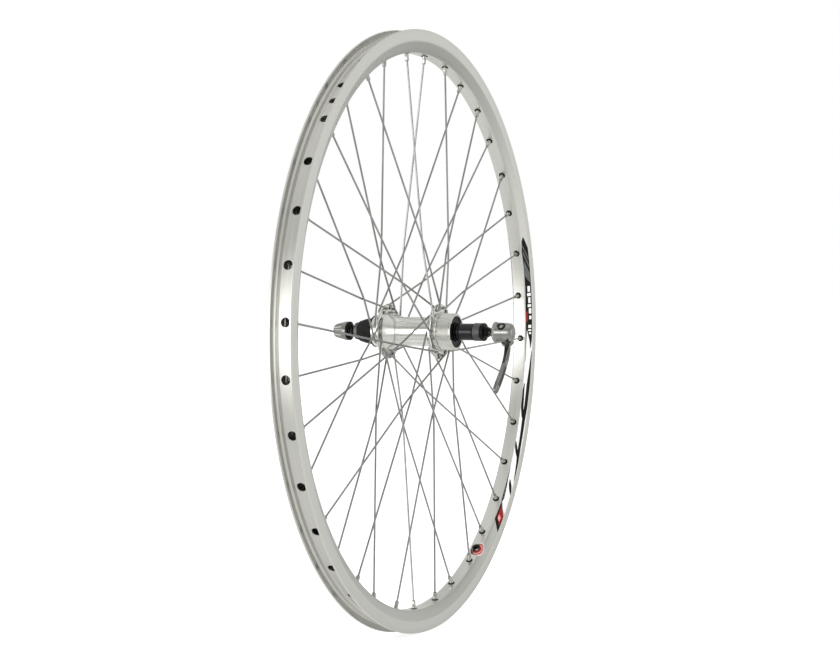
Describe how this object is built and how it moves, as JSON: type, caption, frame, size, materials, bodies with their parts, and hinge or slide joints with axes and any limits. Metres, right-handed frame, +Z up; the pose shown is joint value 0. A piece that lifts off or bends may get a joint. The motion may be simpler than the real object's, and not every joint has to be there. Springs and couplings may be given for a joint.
{
  "type": "bicycle rear wheel with quick-release skewer",
  "caption": "Bare bicycle rear wheel: double-wall alloy rim, crossed wire spokes, threaded hub for a freewheel, and a cam-lever quick-release skewer.",
  "frame": {"origin": "on the axle's centre line, in the rim's centre plane, where the frame's dropouts hold the wheel", "axes": "+Y along the axle away from the sprocket side and the lever, +Z up, +X completes the right-handed frame"},
  "size_m": [0.572, 0.1863, 0.572],
  "materials": {
    "rim_alloy": "satin silver",
    "hub_alloy": "polished",
    "stainless": "drawn wire",
    "bearing_steel": "ground",
    "black_plastic": "moulded",
    "black_rubber": "matt",
    "dark_steel": "dark plated",
    "black_steel": "black oxide",
    "skewer_alloy": "polished",
    "lever_steel": "plated"
  },
  "bodies": {
    "axle_unit": {"axle": "black_steel", "left_cone": "bearing_steel", "right_cone": "dark_steel", "left_locknut": "dark_steel", "right_locknut": "dark_steel", "right_spacer": "dark_steel", "right_lock_washer": "black_steel", "left_boot": "black_rubber", "left_spring": "black_steel", "right_spring": "black_steel"},
    "wheel": {"rim": "rim_alloy", "hub_shell": "hub_alloy", "left_bearing_cup": "bearing_steel", "right_bearing_cup": "bearing_steel", "left_dust_cap": "black_plastic", "right_dust_cap": "black_plastic", "spoke_01": "stainless", "spoke_02": "stainless", "spoke_03": "stainless", "spoke_04": "stainless", "spoke_05": "stainless", "spoke_06": "stainless", "spoke_07": "stainless", "spoke_08": "stainless", "spoke_09": "stainless", "spoke_10": "stainless", "spoke_11": "stainless", "spoke_12": "stainless", "spoke_13": "stainless", "spoke_14": "stainless", "spoke_15": "stainless", "spoke_16": "stainless", "spoke_17": "stainless", "spoke_18": "stainless", "spoke_19": "stainless", "spoke_20": "stainless", "spoke_21": "stainless", "spoke_22": "stainless", "spoke_23": "stainless", "spoke_24": "stainless", "spoke_25": "stainless", "spoke_26": "stainless", "spoke_27": "stainless", "spoke_28": "stainless", "spoke_29": "stainless", "spoke_30": "stainless", "spoke_31": "stainless", "spoke_32": "stainless", "spoke_33": "stainless", "spoke_34": "stainless", "spoke_35": "stainless", "spoke_36": "stainless"},
    "left_balls": {"left_ball_cage": "bearing_steel"},
    "right_balls": {"right_ball_cage": "bearing_steel"},
    "skewer_head": {"cam_housing": "skewer_alloy"},
    "cam_lever": {"lever": "lever_steel", "cam_retaining_ring": "black_steel"},
    "draw_rod": {"skewer_rod": "stainless"},
    "nut_ring": {"nut_face_ring": "black_steel"},
    "nut": {"skewer_nut": "skewer_alloy"}
  },
  "joints": [
    {"name": "wheel_spin", "type": "hinge", "parent": "axle_unit", "child": "wheel", "pos_m": [0, 0, 0], "axis": [0, 1, 0], "continuous": true},
    {"name": "left_balls_roll", "type": "hinge", "parent": "axle_unit", "child": "left_balls", "pos_m": [0, 0.0406, 0], "axis": [0, 1, 0], "continuous": true},
    {"name": "right_balls_roll", "type": "hinge", "parent": "axle_unit", "child": "right_balls", "pos_m": [0, -0.0316, 0], "axis": [0, 1, 0], "continuous": true},
    {"name": "skewer_turn", "type": "hinge", "parent": "axle_unit", "child": "skewer_head", "pos_m": [0, -0.086, 0], "axis": [0, 1, 0], "continuous": true},
    {"name": "lever_flip", "type": "hinge", "parent": "skewer_head", "child": "cam_lever", "pos_m": [0, -0.086, 0], "axis": [-0.7314, 0, 0.682], "range_deg": [0, 180]},
    {"name": "rod_draw", "type": "slide", "parent": "skewer_head", "child": "draw_rod", "axis": [0, 1, 0], "range_m": [0, 0.0014]},
    {"name": "nut_travel", "type": "slide", "parent": "draw_rod", "child": "nut_ring", "axis": [0, 1, 0], "range_m": [-0.005, 0.006], "deforming": ["left_spring"]},
    {"name": "nut_turn", "type": "hinge", "parent": "nut_ring", "child": "nut", "pos_m": [0, 0.082, 0], "axis": [0, 1, 0], "range_deg": [-2240, 2690]}
  ],
  "couplings": [
    {"joint": "left_balls_roll", "follows": "wheel_spin", "ratio": 0.625},
    {"joint": "right_balls_roll", "follows": "wheel_spin", "ratio": 0.625},
    {"joint": "rod_draw", "follows": "lever_flip", "m_per_rad": 0.000445},
    {"joint": "nut_travel", "follows": "nut_turn", "m_per_rad": 0.00012732}
  ]
}
